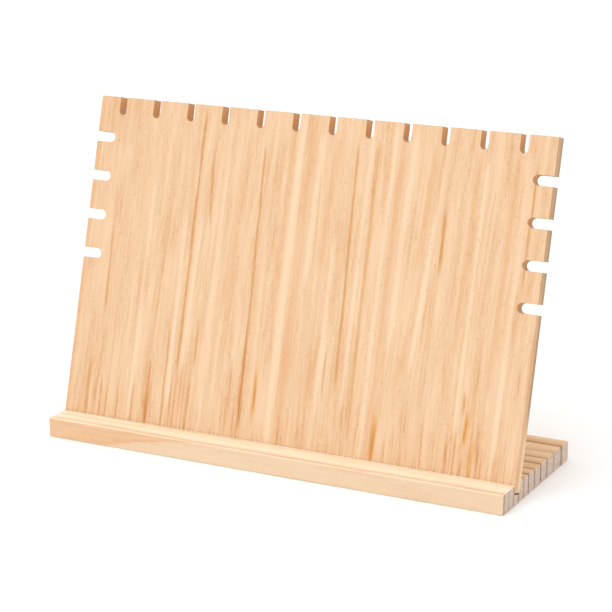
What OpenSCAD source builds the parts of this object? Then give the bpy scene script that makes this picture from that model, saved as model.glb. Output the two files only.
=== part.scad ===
// Notched display stand: a plank base with a leaning groove, and a panel with comb-like edges that
// stands in the groove and leans back. The panel is edge-glued from three boards.
// Sizes in mm. +X runs along the stand, -Y is the front, +Z is up, and z = 0 is the table top.

/* [Base] */
// Length of the stand, end to end
stand_l = 300; // [250:5:400]
// Base, front to back
base_d = 100; // [80:1:150]
// Base thickness
base_t = 12; // [10:0.5:20]
// Flat planed along every outer edge of the base
base_ease = 0.8; // [0.2:0.1:2]

/* [Groove] */
// Front face of the base to the front lip of the groove
groove_set_back = 18; // [10:0.5:30]
// Depth of the groove, down its front wall
groove_depth = 5.5; // [4:0.25:6.5]
// Room across the groove, beyond the thickness of the panel
groove_fit = 0.05; // [0.02:0.01:0.3]
// Gap under the foot of the panel
foot_gap = 1; // [0.5:0.1:2]

/* [Panel] */
// How far back the panel leans from upright, in degrees
lean = 16.5; // [5:0.5:20]
// Panel height along the slope, foot included
panel_h = 200; // [150:5:260]
// Panel thickness
panel_t = 8; // [6:0.25:10]
// How far each end of the panel stands in from the end of the base
panel_inset = 0; // [0:0.5:10]
// Flat planed along every outer edge of the panel
panel_ease = 0.4; // [0.1:0.1:1]
// Width of the left board
left_board_w = 144; // [110:0.5:160]
// Width of the middle board
middle_board_w = 60; // [40:0.5:65]

/* [Notches] */
// Width of the top notches
top_notch_w = 5; // [4:0.25:8]
// Width of the side notches
side_notch_w = 6; // [4:0.25:8]
// Centre to centre of neighbouring notches
notch_pitch = 24; // [18:0.5:40]
// Depth of the top notches, to the far side of their round ends
top_depth = 11; // [8:0.5:14]
// Least distance from an end of the panel to the centre of a top notch
top_margin = 15; // [15:0.5:30]
// How far the row of top notches sits off centre, to the right
top_shift = -2; // [-4:0.5:4]
// Depth of the side notches, to the far side of their round ends
side_depth = 12.5; // [8:0.5:14]
// Top edge of the panel to the centre of the first side notch
side_start = 25; // [22:0.5:40]
// Side notches are cut no further down than this
side_zone = 100; // [60:1:140]

/* [Hidden] */
$fn = 48;
past = 2;
panel_l = stand_l - 2 * panel_inset;
groove_w = panel_t + groove_fit;
groove_y = groove_set_back - base_d / 2;
foot_in = groove_depth - foot_gap;
right_board_w = panel_l - left_board_w - middle_board_w;
top_count = floor((panel_l - 2 * (top_margin + abs(top_shift))) / notch_pitch) + 1;
top_first = (panel_l - (top_count - 1) * notch_pitch) / 2 + top_shift;
side_count = floor((side_zone - side_start) / notch_pitch) + 1;

// A rectangle with its corners cut off, from the origin
module eased_rect(w, h, ease) {
    polygon([[ease, 0], [w - ease, 0], [w, ease], [w, h - ease],
             [w - ease, h], [ease, h], [0, h - ease], [0, ease]]);
}

// A block with all twelve edges planed off, from the origin
module eased_block(l, d, h, ease) {
    intersection() {
        linear_extrude(height = h) eased_rect(l, d, ease);
        translate([0, d, 0]) rotate([90, 0, 0])
            linear_extrude(height = d) eased_rect(l, h, ease);
        rotate([90, 0, 90])
            linear_extrude(height = l) eased_rect(d, h, ease);
    }
}

// Moves what is drawn on a flat panel to where the panel stands: x from its left end, y from its
// front face and z up the slope from the front lip of the groove
module on_the_slope() {
    translate([-panel_l / 2, groove_y, base_t]) rotate([-lean, 0, 0]) children();
}

module base_plank() {
    color("burlywood") difference() {
        translate([-stand_l / 2, -base_d / 2, 0]) eased_block(stand_l, base_d, base_t, base_ease);
        on_the_slope() translate([-panel_inset - past, 0, -groove_depth])
            cube([stand_l + 2 * past, groove_w, groove_depth + base_t]);
    }
}

// One notch, drawn upright: its mouth is at z = 0 and its round end at the bottom
module notch(w, depth) {
    translate([-w / 2, -past, w / 2 - depth])
        cube([w, panel_t + 2 * past, depth - w / 2 + past]);
    translate([0, -past, w / 2 - depth]) rotate([-90, 0, 0])
        cylinder(d = w, h = panel_t + 2 * past);
}

module all_notches() {
    for (i = [0 : top_count - 1])
        translate([top_first + i * notch_pitch, 0, panel_h]) notch(top_notch_w, top_depth);
    for (i = [0 : side_count - 1], z = panel_h - side_start - i * notch_pitch) {
        translate([0, 0, z]) rotate([0, -90, 0]) notch(side_notch_w, side_depth);
        translate([panel_l, 0, z]) rotate([0, 90, 0]) notch(side_notch_w, side_depth);
    }
}

// The stretch of the finished panel from one seam to the next
module board(from, w) {
    on_the_slope() translate([0, 0, -foot_in]) difference() {
        intersection() {
            eased_block(panel_l, panel_t, panel_h, panel_ease);
            translate([from, -past, -past]) cube([w, panel_t + 2 * past, panel_h + 2 * past]);
        }
        all_notches();
    }
}

module left_board() {
    color("wheat") board(0, left_board_w);
}

module middle_board() {
    color("tan") board(left_board_w, middle_board_w);
}

module right_board() {
    color("navajowhite") board(left_board_w + middle_board_w, right_board_w);
}

base_plank();
left_board();
middle_board();
right_board();
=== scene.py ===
"""A notched display stand in pine: a plank base, and a panel of three glued boards that leans in
the base's groove. Metres throughout; +X along the stand, -Y the front, +Z up."""

import math
from types import SimpleNamespace

import bpy
from mathutils import Matrix, Vector


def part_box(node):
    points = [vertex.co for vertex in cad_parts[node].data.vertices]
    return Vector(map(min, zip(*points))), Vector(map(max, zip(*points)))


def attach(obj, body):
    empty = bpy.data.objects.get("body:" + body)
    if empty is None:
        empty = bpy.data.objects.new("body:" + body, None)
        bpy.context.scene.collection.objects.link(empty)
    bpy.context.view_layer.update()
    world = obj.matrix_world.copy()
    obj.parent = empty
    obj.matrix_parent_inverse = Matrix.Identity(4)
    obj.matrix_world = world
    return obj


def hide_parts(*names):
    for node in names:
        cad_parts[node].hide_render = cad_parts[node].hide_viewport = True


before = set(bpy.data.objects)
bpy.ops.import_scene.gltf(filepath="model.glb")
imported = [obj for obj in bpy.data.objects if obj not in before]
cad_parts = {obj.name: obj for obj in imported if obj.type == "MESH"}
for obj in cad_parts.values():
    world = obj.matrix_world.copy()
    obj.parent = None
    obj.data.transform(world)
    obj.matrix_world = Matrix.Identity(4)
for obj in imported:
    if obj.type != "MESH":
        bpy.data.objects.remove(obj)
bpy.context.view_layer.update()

# ---------------------------------------------------------------------------------------------
# Base plank. One planed pine plank lying flat, cut so that its growth rings stand nearly upright
# in the ends. A leaning groove for the panel is sawn along its whole length, 18 mm in from the
# front, and every outer edge has been eased with sandpaper.

MM = 0.001
base_low, base_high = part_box("base_plank")
LEAN = math.radians(16.5)
GROOVE_LIP = base_low.y + 18 * MM
GROOVE_DEPTH = 5.5 * MM
GROOVE_WIDTH = 8.05 * MM
BASE_EASE = 0.8 * MM
LIP_EASE = 0.25 * MM


class Shade:
    """A value, vector or colour on its way through a material. Arithmetic on it adds Math nodes."""

    def __init__(self, tree, socket=None):
        self.tree, self.socket = tree, socket

    def node(self, kind, settings, sockets, output=0):
        """Any other node: its settings are set first, then its sockets get values or links."""
        made = self.tree.nodes.new("ShaderNode" + kind)
        for name, value in settings.items():
            if name == "stops":
                ramp = made.color_ramp
                while len(ramp.elements) < len(value):
                    ramp.elements.new(1)
                for element, (place, colour) in zip(ramp.elements, value):
                    element.position, element.color = place, colour
            else:
                setattr(made, name, value)
        for name, value in sockets.items():
            if isinstance(value, Shade):
                self.tree.links.new(value.socket, made.inputs[name])
            else:
                made.inputs[name].default_value = value
        return Shade(self.tree, made.outputs[output] if made.outputs else None)

    def maths(self, operation, *values):
        return self.node("Math", {"operation": operation}, dict(enumerate(values)))

    def __add__(self, other):
        return self.maths("ADD", self, other)

    def __radd__(self, other):
        return self.maths("ADD", other, self)

    def __sub__(self, other):
        return self.maths("SUBTRACT", self, other)

    def __rsub__(self, other):
        return self.maths("SUBTRACT", other, self)

    def __mul__(self, other):
        return self.maths("MULTIPLY", self, other)

    def __rmul__(self, other):
        return self.maths("MULTIPLY", other, self)

    def __truediv__(self, other):
        return self.maths("DIVIDE", self, other)

    def __rtruediv__(self, other):
        return self.maths("DIVIDE", other, self)

    def __abs__(self):
        return self.maths("ABSOLUTE", self)

    def step(self, low, high):
        """0 below low and 1 above high, with a soft step between them."""
        return self.node("MapRange", {"interpolation_type": "SMOOTHSTEP"},
                         {"Value": self, "From Min": low, "From Max": high})

    def between(self, colour, other):
        """A colour at a share of 0, another at a share of 1. A Mix node keeps its colours in
        sockets 6 and 7, and gives the mixed one as its output 2."""
        return self.node("Mix", {"data_type": "RGBA"}, {0: self, 6: colour, 7: other}, 2)

    def towards(self, colour, share):
        """This colour, mixed towards another one by a share."""
        return share.between(self, colour)

    def axes(self):
        """The x, y and z of a vector."""
        split = self.node("SeparateXYZ", {}, {0: self}).socket.node
        return [Shade(self.tree, part) for part in split.outputs]


def paint(red, green, blue):
    """A colour in screen values of 0 to 255, as the linear light that a shader needs."""
    def linear(v):
        return v / 12.92 if v < 0.04045 else ((v + 0.055) / 1.055) ** 2.4
    return (*(linear(v / 255) for v in (red, green, blue)), 1)


def streaky(at, size, stretch, detail=2.0):
    """Noise drawn out along the grain. at is (across, through, along) in mm."""
    across, through, along = at
    spot = across.node("CombineXYZ", {}, {0: across / size, 1: through / size,
                                          2: along / (size * stretch)})
    return spot.node("TexNoise", {}, {"Vector": spot, "Scale": 1.0, "Detail": detail,
                                      "Roughness": 0.55})


WANDER = 8
RING_RIPPLE = 0.35
TONE_PLACES = (0.38, 0.47, 0.55, 0.67)
STREAK_FADE = 14
STREAK_WAVER = 2.6
PORE = paint(168, 116, 72)
OPEN_CELL = paint(110, 84, 68)
GRAIN_HEIGHT = 0.12 * MM


def pine(name, grain, origin, heart, ring_area, drift, tones, end_tones, rings_show, marks,
         flecks=0.6, seed=0, streaks=()):
    """Bare pine, with every length in mm.
    grain: the axis that the fibres run along, X or Z.
    origin: where measuring across the grain and along it starts.
    heart: where the middle of the tree would be, across and through the wood.
    ring_area: how far apart the growth rings are.
    drift: how far the rings slant sideways for each mm along.
    tones, end_tones: from the palest wood to the darkest, on the long faces and the sawn ends.
    rings_show, flecks: how strongly the rings and the pores are coloured.
    marks: a function that adds a piece's own marks to its long faces, and the light and shade
    painted there.
    seed: moves the pattern on, so that no two boards are alike.
    streaks: for each colour, a list of streaks in the grain, each colour over the ones before it.
    A streak is where it is across the wood at its top and at its foot, its top and its foot along
    the wood, half its width, and its strength."""
    material = bpy.data.materials.new(name)
    material.use_nodes = True
    material.node_tree.nodes.clear()
    start = Shade(material.node_tree)
    place = start.node("TexCoord", {}, {}, "Object")
    x, y, z = start.node("VectorMath", {"operation": "SCALE"}, {0: place, "Scale": 1 / MM}).axes()
    facing_x, facing_y, facing_z = start.node("TexCoord", {}, {}, "Normal").axes()
    if grain == "X":
        along, across, through, facing_end = x - origin[1], y - origin[0], z, facing_x
    else:
        across, through, along, facing_end = x - origin[0], y, z - origin[1], facing_z
    end_share = abs(facing_end).step(0.55, 0.85)

    # the tree's middle wanders a little along the plank, so lines on the face lean and waver
    slow = streaky((across + seed, through, along), size=60, stretch=3, detail=1)
    bent = across + (along * drift + (slow - 0.5) * WANDER)
    at = (bent + seed, through, along)
    fibres = streaky(at, size=0.42, stretch=18, detail=1)
    threads = streaky(at, size=1.5, stretch=24, detail=3)
    bands = streaky(at, size=6.5, stretch=11)
    pores = streaky(at, size=0.42, stretch=7, detail=1)

    # each ring darkens slowly outwards and ends sharply, some rings more than others
    out, deep = bent - heart[0], through - heart[1]
    rings = (out * out + deep * deep) / ring_area + (threads - 0.5) * RING_RIPPLE
    within = rings.maths("FRACT", rings)
    each = rings.node("TexWhiteNoise", {"noise_dimensions": "1D"},
                      {"W": rings.maths("FLOOR", rings) + seed})
    late = within.step(0.1, 0.93) * (1 - within.step(0.93, 1)) * (0.25 + each * 0.75)
    ring_line = within.step(0.62, 0.9) * (1 - within.step(0.9, 1)) * (0.45 + each * 0.55)

    warmth = bands * 0.4 + threads * 0.34 + fibres * 0.26
    colour = start.node("ValToRGB", {"stops": list(zip(TONE_PLACES, tones))}, {0: warmth})
    colour = colour.towards(tones[-1], late * rings_show)
    for tint, group in streaks:
        for at_top, at_foot, top, foot, half, strength in group:
            lean = (at_top - at_foot) / (top - foot)
            fade = min(STREAK_FADE, (top - foot) * 0.45)
            off = abs(across - along * lean + (threads - 0.5) * STREAK_WAVER
                      - (at_foot - foot * lean))
            share = (1 - off.step(half * 0.1, half * 1.4)) * along.step(foot - 1, foot + fade)
            share = share * (1 - along.step(top - fade, top + 1)) * (0.2 + fibres * 1.5)
            colour = colour.towards(tint, share * strength)
    fleck = pores.step(0.64, 0.71) * bands.step(0.38, 0.55)
    colour = colour.towards(PORE, fleck * flecks)
    colour = marks(colour, SimpleNamespace(
        across=across, through=through, along=along, facing_x=facing_x, facing_y=facing_y,
        facing_z=facing_z, threads=threads, bands=bands, ring_line=ring_line))

    # sawn ends show the open cells: greyer, with the rings as crisp lines and fine pits
    cells = streaky((across, through, along), size=0.35, stretch=1)
    saw_marks = streaky((across, through, along), size=2, stretch=1, detail=4)
    sawn = (saw_marks.step(0.35, 0.7) * 0.3).between(*end_tones)
    sawn = sawn.towards(end_tones[-1], ring_line)
    sawn = sawn.towards(OPEN_CELL, cells.step(0.6, 0.75) * 0.2)
    colour = colour.towards(sawn, end_share)

    height = fibres * 0.5 + late * 0.3 + threads * 0.3 - fleck * 0.5 + cells * end_share * 1.2
    skin = start.node("BsdfPrincipled", {}, {
        "Base Color": colour,
        "Roughness": 0.5 + fibres * 0.16 + end_share * 0.2 - late * 0.08,
        "Normal": start.node("Bump", {}, {"Strength": 0.35, "Distance": GRAIN_HEIGHT,
                                          "Height": height}),
        "Specular IOR Level": 0.3})
    start.node("OutputMaterial", {}, {"Surface": skin})
    return material


def plank(name, outline, depth_from, depth_to, point, edge_ease, corner_ease, ease):
    """A piece sawn to an outline. point(a, b, depth) places an outline point in space. The two
    easing functions give how much of the full easing an outline edge or corner gets: 0 stays
    sharp, and None is part of a round end, which needs no easing."""
    count = len(outline)
    places = [point(a, b, depth) for depth in (depth_from, depth_to) for a, b in outline]
    faces = [tuple(range(count))[::-1], tuple(range(count, 2 * count))]
    faces += [(i, (i + 1) % count, (i + 1) % count + count, i + count) for i in range(count)]
    mesh = bpy.data.meshes.new(name)
    mesh.from_pydata(places, [], faces)
    weights = mesh.attributes.new("bevel_weight_edge", "FLOAT", "EDGE")
    for edge in mesh.edges:
        a, b = sorted(edge.vertices)
        if b - a == count:
            share = corner_ease(a)
        else:
            share = edge_ease((b if b - a == count - 1 else a) % count)
        weights.data[edge.index].value = share or 0
        edge.use_edge_sharp = share == 0
    piece = bpy.data.objects.new(name, mesh)
    bpy.context.scene.collection.objects.link(piece)
    eased = piece.modifiers.new("eased_edges", "BEVEL")
    eased.width, eased.segments, eased.limit_method = ease, 3, "WEIGHT"
    eased.harden_normals = True
    mesh.shade_smooth()
    return piece


slope_y, slope_z = math.sin(LEAN), math.cos(LEAN)
top = base_high.z
front_foot = (GROOVE_LIP - GROOVE_DEPTH * slope_y, top - GROOVE_DEPTH * slope_z)
rear_foot = (front_foot[0] + GROOVE_WIDTH * slope_z, front_foot[1] - GROOVE_WIDTH * slope_y)
rear_lip = (rear_foot[0] + (top - rear_foot[1]) * slope_y / slope_z, top)
front_lip = (GROOVE_LIP, top)
base_outline = [(base_low.y, 0), (base_high.y, 0), (base_high.y, top), rear_lip, rear_foot,
                front_foot, front_lip, (base_low.y, top)]
REAR_LIP, REAR_FOOT, FRONT_FOOT, FRONT_LIP = range(3, 7)
lip_share = LIP_EASE / BASE_EASE
base = plank("base_plank_planed", base_outline, base_low.x, base_high.x,
             point=lambda y, z, x: (x, y, z),
             edge_ease=lambda i: lip_share if i in (REAR_LIP, REAR_FOOT, FRONT_FOOT) else 1,
             corner_ease=lambda i: {REAR_LIP: lip_share, FRONT_LIP: lip_share,
                                    REAR_FOOT: 0, FRONT_FOOT: 0}.get(i, 1),
             ease=BASE_EASE)

BLUSH = paint(226, 164, 108)
AMBER = paint(220, 158, 80)
PALE_AND_LIT = paint(255, 236, 208)
FRONT_TONE_AND_SHADE = paint(222, 189, 154)
TAN_AND_SHADOW = paint(216, 168, 108)
RING_BROWN = paint(150, 94, 46)


def base_marks_and_shade(colour, wood):
    """The front's left third is warmer heartwood, which ends in one long slanting arch, and the
    whole front is toned darker than the top, partly the wood and partly painted shade. The top is
    tanner behind the groove, with darker ring lines; the tan is partly the wood and partly painted
    shadow of the panel."""
    front = 1 - wood.facing_y.step(-0.8, -0.4)
    arch = wood.along - wood.through * wood.through * 0.25 - wood.through * 2.2
    arch = arch - wood.threads * 14
    warm = (1 - arch.step(26, 34)) * front
    line = arch.step(20, 31) * (1 - arch.step(31, 36)) * front
    # the whole front is toned darker than the top: partly the wood's own tone, partly painted shade
    colour = colour.towards(FRONT_TONE_AND_SHADE, front * 0.7)
    colour = colour.towards(BLUSH, warm * (0.08 + wood.threads * 0.6))
    colour = colour.towards(AMBER, line * 0.3)
    # behind the groove the top turns tanner: partly the wood, partly painted shadow of the panel
    behind_in_shadow = wood.across.step(22, 34) * wood.facing_z.step(0.4, 0.8)
    colour = colour.towards(TAN_AND_SHADOW, behind_in_shadow * 0.5)
    return colour.towards(RING_BROWN, wood.ring_line * behind_in_shadow * 0.7)


base.data.materials.append(pine(
    "base_pine", "X", origin=(-50, -150), heart=(183.5, 2), ring_area=2380, drift=0.004,
    tones=(paint(250, 233, 206), paint(249, 228, 198), paint(243, 215, 180),
           paint(184, 122, 64)),
    end_tones=(paint(216, 195, 178), paint(138, 106, 86)),
    rings_show=0.9, marks=base_marks_and_shade, flecks=0.2,
    # the wide pale streak over the top's front strip: partly a pale band in the wood, partly
    # painted light falling from above
    streaks=[(PALE_AND_LIT, [(9, 8, 330, -30, 9.5, 0.6)]),
             (BLUSH, [(12.5, 11, 330, -30, 0.7, 0.45), (5, 5.5, 330, -30, 0.5, 0.3)])]))
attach(base, "base")
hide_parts("base_plank")

# ---------------------------------------------------------------------------------------------
# Panel. Three pine boards glued edge to edge and sanded flush, grain upright, 8 mm thick. Notches
# with round ends are routed through the top and both sides. It stands in the groove and leans
# back, so each board is drawn upright in the panel's own frame and then tilted.

PANEL_LONG = base_high.x - base_low.x
PANEL_THICK = 8 * MM
PANEL_TOP = 195.5 * MM
PANEL_FOOT = -4.5 * MM
NOTCH_PITCH = 24 * MM
TOP_NOTCHES = 12
TOP_WIDE, TOP_DEEP = 5 * MM, 11 * MM
TOP_SHIFT = -2 * MM
SIDE_NOTCHES = 4
SIDE_WIDE, SIDE_DEEP = 6 * MM, 12.5 * MM
SIDE_START = 25 * MM
PANEL_EASE = 0.4 * MM
NOTCH_EASE = 0.12 * MM
ARC_STEPS = 14

on_the_slope = Matrix.Translation((0, GROOVE_LIP, top)) @ Matrix.Rotation(-LEAN, 4, "X")
top_notches = [(i - (TOP_NOTCHES - 1) / 2) * NOTCH_PITCH + TOP_SHIFT for i in range(TOP_NOTCHES)]
side_notches = [PANEL_TOP - SIDE_START - i * NOTCH_PITCH for i in range(SIDE_NOTCHES)]


def notch(mouth, inward, first, wide, deep):
    """The outline of one notch, from one lip of its mouth round to the other. mouth is the middle
    of its mouth, inward points into the wood, and first points to the lip that comes first."""
    half = wide / 2
    centre = mouth + inward * (deep - half)
    arc = [math.pi * i / ARC_STEPS for i in range(ARC_STEPS + 1)]
    round_end = [centre + first * half * math.cos(a) + inward * half * math.sin(a) for a in arc]
    return [mouth + first * half, *round_end, mouth - first * half]


def board(name, left, right):
    """One board of the panel between two places along it, with the notches that fall in it. The
    outline runs from the left foot round by the right, the top and the left side."""
    is_left_end = left < -PANEL_LONG / 2 + MM
    is_right_end = right > PANEL_LONG / 2 - MM
    outline, kinds = [], []

    def corner(x, z):
        outline.append((x, z))
        kinds.append("corner")

    def cut(path):
        outline.extend(tuple(p) for p in path)
        kinds.extend(["mouth", *["notch"] * (len(path) - 2), "mouth"])

    corner(left, PANEL_FOOT)
    corner(right, PANEL_FOOT)
    if is_right_end:
        for z in reversed(side_notches):
            cut(notch(Vector((right, z)), inward=Vector((-1, 0)), first=Vector((0, -1)),
                      wide=SIDE_WIDE, deep=SIDE_DEEP))
    corner(right, PANEL_TOP)
    for x in reversed(top_notches):
        if left < x < right:
            cut(notch(Vector((x, PANEL_TOP)), inward=Vector((0, -1)), first=Vector((1, 0)),
                      wide=TOP_WIDE, deep=TOP_DEEP))
    corner(left, PANEL_TOP)
    if is_left_end:
        for z in side_notches:
            cut(notch(Vector((left, z)), inward=Vector((1, 0)), first=Vector((0, 1)),
                      wide=SIDE_WIDE, deep=SIDE_DEEP))
    count = len(outline)

    def is_seam(i):
        ends = outline[i][0], outline[(i + 1) % count][0]
        return (not is_left_end and ends == (left, left)) or (
            not is_right_end and ends == (right, right))

    def in_notch(i):
        return "notch" in (kinds[i], kinds[(i + 1) % count])

    def edge_ease(i):
        return 0 if is_seam(i) else NOTCH_EASE / PANEL_EASE if in_notch(i) else 1

    def corner_ease(i):
        if kinds[i] == "notch":
            return None
        if is_seam(i) or is_seam((i - 1) % count):
            return 0
        return 1 if kinds[i] == "corner" else NOTCH_EASE / PANEL_EASE

    piece = plank(name, outline, 0, PANEL_THICK, point=lambda x, z, y: (x, y, z),
                  edge_ease=edge_ease, corner_ease=corner_ease, ease=PANEL_EASE)
    front_and_rear, routed_wood = 2, 1
    for i in filter(in_notch, range(count)):
        piece.data.polygons[front_and_rear + i].material_index = routed_wood
    piece.matrix_world = on_the_slope
    return piece


BROWN = paint(206, 146, 84)
CORE = paint(192, 126, 60)
CREAM = paint(241, 214, 182)
ROSY = paint(222, 166, 118)
OLIVE_SHADE = paint(150, 116, 80)
HONEY_FLOOR_LIGHT = paint(238, 208, 160)
FOOT_STREAK = paint(196, 130, 66)
JOINT_SHADOW = paint(150, 98, 54)
SCORCHED_AND_SHADED = paint(212, 148, 76)
SCORCHED_AND_SHADED_REAR = paint(146, 94, 50)


def panel_marks_and_shade(colour, wood):
    """The planed sides get painted shade, with painted light from the floor on the rear half near
    the foot, which darkens on the way up. Darker streaks run up from the foot, and a fine broken
    line of painted shade marks where the groove's lip touches."""
    side = abs(wood.facing_x).step(0.6, 0.9)
    rear = wood.through.step(3.4, 5) * side
    high, upper = wood.along.step(18, 50), wood.along.step(90, 120)
    # painted shade on the sides, lifted by painted floor light on the rear half near the foot and
    # deepened higher up
    colour = colour.towards(BROWN, side * (1 - rear) * 0.35)
    colour = colour.towards(HONEY_FLOOR_LIGHT, rear * (1 - high) * 0.8)
    colour = colour.towards(OLIVE_SHADE, rear * high * 0.75)
    colour = colour.towards(OLIVE_SHADE, side * (1 - rear) * upper * 0.45)
    foot = (1 - wood.along.step(-4, 42)) * wood.threads.step(0.52, 0.64)
    foot = foot * wood.bands.step(0.42, 0.6)
    colour = colour.towards(FOOT_STREAK, foot * (1 - side) * 0.85)
    # painted shade: a thin dark line in the gap where the panel's front meets the groove's lip
    joint_shadow = wood.along.step(-1.2, -0.4) * (1 - wood.along.step(0.1, 1)) * (1 - side)
    return colour.towards(JOINT_SHADOW, joint_shadow * wood.threads.step(0.4, 0.65) * 0.5)


def routed_scorch_and_shade(colour, wood):
    """The notch walls are browned, most of all at the rear: partly by the router's heat, partly
    painted shade inside the narrow notches.
    """
    # browning that is partly router scorch and partly painted shade, deeper towards the rear
    colour = colour.towards(SCORCHED_AND_SHADED, 0.5 + wood.threads * 0.5)
    return colour.towards(SCORCHED_AND_SHADED_REAR, wood.through.step(4, 8) * 0.35)


boards = {
    "left_board": dict(
        heart=(-90, 70), ring_area=1900, drift=-0.012,
        streaks=[
            (BROWN, [(75, 75.6, 196, 26, 1, 0.9), (83, 86.4, 172, 118, 1.2, 0.7),
                     (86.5, 87.3, 70, 34, 1, 0.8), (117.5, 121.5, 178, 4, 0.9, 0.85),
                     (112.6, 112.8, 50, 13, 0.9, 0.8), (19, 20.5, 120, 60, 1, 0.7),
                     (14.6, 15.2, 40, -20, 0.8, 0.8), (24, 24.4, 26, -20, 0.8, 0.7),
                     (36, 36.4, 30, -20, 0.6, 0.7), (46.6, 47.2, 30, -20, 0.8, 0.8),
                     (56.6, 57.6, 42, -20, 1, 1), (67.6, 68.6, 62, -20, 0.8, 0.8),
                     (75.6, 76.2, 34, -20, 0.7, 0.8), (84, 84.6, 24, -20, 0.7, 0.6)]),
            (AMBER, [(129.5, 130.2, 50, 8, 1.6, 0.75)]),
            (CORE, [(129.6, 130, 40, 14, 0.4, 0.8), (57.2, 57.6, 26, -20, 0.35, 0.9),
                    (119.8, 121.2, 66, 2, 0.4, 0.9)]),
            (ROSY, [(36.3, 37, 182, 160, 0.9, 0.47), (54.4, 55, 178, 155, 0.9, 0.47),
                    (136, 135, 190, 60, 2.2, 0.39), (106, 101, 186, 70, 2.4, 0.39),
                    (2, 1, 200, -8, 1.6, 0.47)]),
            (CREAM, [(141.2, 141.2, 200, -8, 3, 0.62), (45, 45, 150, -8, 1.4, 0.47),
                     (69, 71, 132, 10, 1.9, 0.62), (81, 78, 133, 30, 2, 0.62),
                     (93, 95, 196, -8, 2.2, 0.47)])]),
    "middle_board": dict(
        heart=(330, 80), ring_area=2300, drift=0.010, seed=211,
        streaks=[
            (BROWN, [(178, 182, 186, 34, 1, 0.85), (173.2, 173.6, 66, 28, 0.9, 0.8),
                     (191, 193, 188, 4, 1.3, 0.6)]),
            (ROSY, [(166, 162, 190, 100, 2.6, 0.47), (147, 147, 200, -8, 2.4, 0.43)]),
            (CREAM, [(155, 154, 190, 90, 2.4, 0.55), (170, 171, 128, 14, 1.8, 0.62),
                     (187, 187, 196, 20, 1.5, 0.55), (201.6, 201.6, 200, -8, 1.8, 0.62)])]),
    "right_board": dict(
        heart=(120, 70), ring_area=2100, drift=-0.014, seed=463,
        streaks=[
            (AMBER, [(210.4, 209.2, 30, -8, 1.7, 1), (266.6, 265.2, 39, 13, 1.7, 1),
                     (271, 271.5, 26, -20, 1.1, 0.8)]),
            (CORE, [(210.2, 209.4, 26, -8, 0.4, 0.9), (266.4, 265.4, 34, 17, 0.45, 1)]),
            (BROWN, [(237.6, 238, 154, 108, 1.2, 1), (263, 263.4, 50, 32, 0.9, 0.7),
                     (290, 289, 184, 104, 0.9, 0.8), (294, 294.5, 70, 44, 1.1, 0.6),
                     (222, 222.6, 26, -20, 0.6, 0.6), (240, 240.4, 22, -20, 0.6, 0.6),
                     (255.4, 256, 24, -20, 0.8, 0.8), (260.4, 261, 28, -20, 0.8, 0.8),
                     (265, 265.6, 18, -20, 0.7, 0.8), (275, 275.4, 22, -20, 0.6, 0.7),
                     (286, 286.3, 20, -20, 0.5, 0.7)]),
            (ROSY, [(206.5, 206, 200, -8, 1.6, 0.47), (228, 224, 188, 110, 2.2, 0.47),
                    (255, 252, 180, 60, 1.4, 0.39), (279, 276, 186, 40, 1.8, 0.47)]),
            (CREAM, [(232.5, 227, 150, 50, 1.8, 0.7), (214, 212, 196, 60, 2.4, 0.55),
                     (260, 259, 184, 20, 1.2, 0.62), (285, 284, 190, -8, 2, 0.47)])]),
}
for node, wood in boards.items():
    low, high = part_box(node)
    piece = board(node + "_sanded", low.x, high.x)
    wood.update(grain="Z", origin=(-150, 0), rings_show=0.28,
                tones=(paint(234, 202, 167), paint(230, 195, 157), paint(226, 185, 145),
                       paint(213, 163, 114)),
                end_tones=(paint(214, 180, 144), paint(170, 122, 80)))
    piece.data.materials.append(pine(node + "_pine", marks=panel_marks_and_shade, **wood))
    piece.data.materials.append(pine(node + "_routed", marks=routed_scorch_and_shade, **wood))
    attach(piece, "panel")
    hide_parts(node)
    node + "_pine"

# ---------------------------------------------------------------------------------------------
# Studio. A wide pale floor, a bright even sky, and one broad soft light high on the front left.
# The camera stands to the right of the stand and looks slightly down.

FLOOR_HALF = 30
floor_mesh = bpy.data.meshes.new("floor")
floor_mesh.from_pydata([(x * FLOOR_HALF, y * FLOOR_HALF, 0) for x, y in
                        ((-1, -1), (1, -1), (1, 1), (-1, 1))], [], [(0, 1, 2, 3)])
floor = bpy.data.objects.new("floor", floor_mesh)
bpy.context.scene.collection.objects.link(floor)
paper = bpy.data.materials.new("paper")
paper.use_nodes = True
paper_sockets = paper.node_tree.nodes["Principled BSDF"].inputs
paper_sockets["Base Color"].default_value = (0.95, 0.95, 0.95, 1)
paper_sockets["Roughness"].default_value = 0.9
floor_mesh.materials.append(paper)

sky = bpy.data.worlds.new("studio")
sky.use_nodes = True
sky_sockets = sky.node_tree.nodes["Background"].inputs
sky_sockets["Color"].default_value = (1, 1, 1, 1)
sky_sockets["Strength"].default_value = 0.93
bpy.context.scene.world = sky

KEY_SHINES = Vector((0.4, 0.9, -2.2))
key = bpy.data.lights.new("key", "SUN")
key.energy, key.angle = 1.0, math.radians(60)
lamp = bpy.data.objects.new("key", key)
lamp.rotation_euler = KEY_SHINES.to_track_quat("-Z", "Y").to_euler()
bpy.context.scene.collection.objects.link(lamp)

CAMERA_PLACE = (0.5720, -1.0865, 0.4462)
CAMERA_TURN = math.radians(27.665)
CAMERA_DIP = math.radians(16.22)
CAMERA_ROLL = math.radians(-0.6)
lens = bpy.data.cameras.new("camera")
lens.lens, lens.sensor_width = 127.28, 36
lens.clip_start, lens.clip_end = 0.05, 80
camera = bpy.data.objects.new("camera", lens)
camera.matrix_world = (Matrix.Translation(CAMERA_PLACE)
                       @ Matrix.Rotation(CAMERA_TURN, 4, "Z")
                       @ Matrix.Rotation(math.pi / 2 - CAMERA_DIP, 4, "X")
                       @ Matrix.Rotation(CAMERA_ROLL, 4, "Z"))
bpy.context.scene.collection.objects.link(camera)
bpy.context.scene.camera = camera
bpy.context.scene.view_settings.view_transform = "Standard"
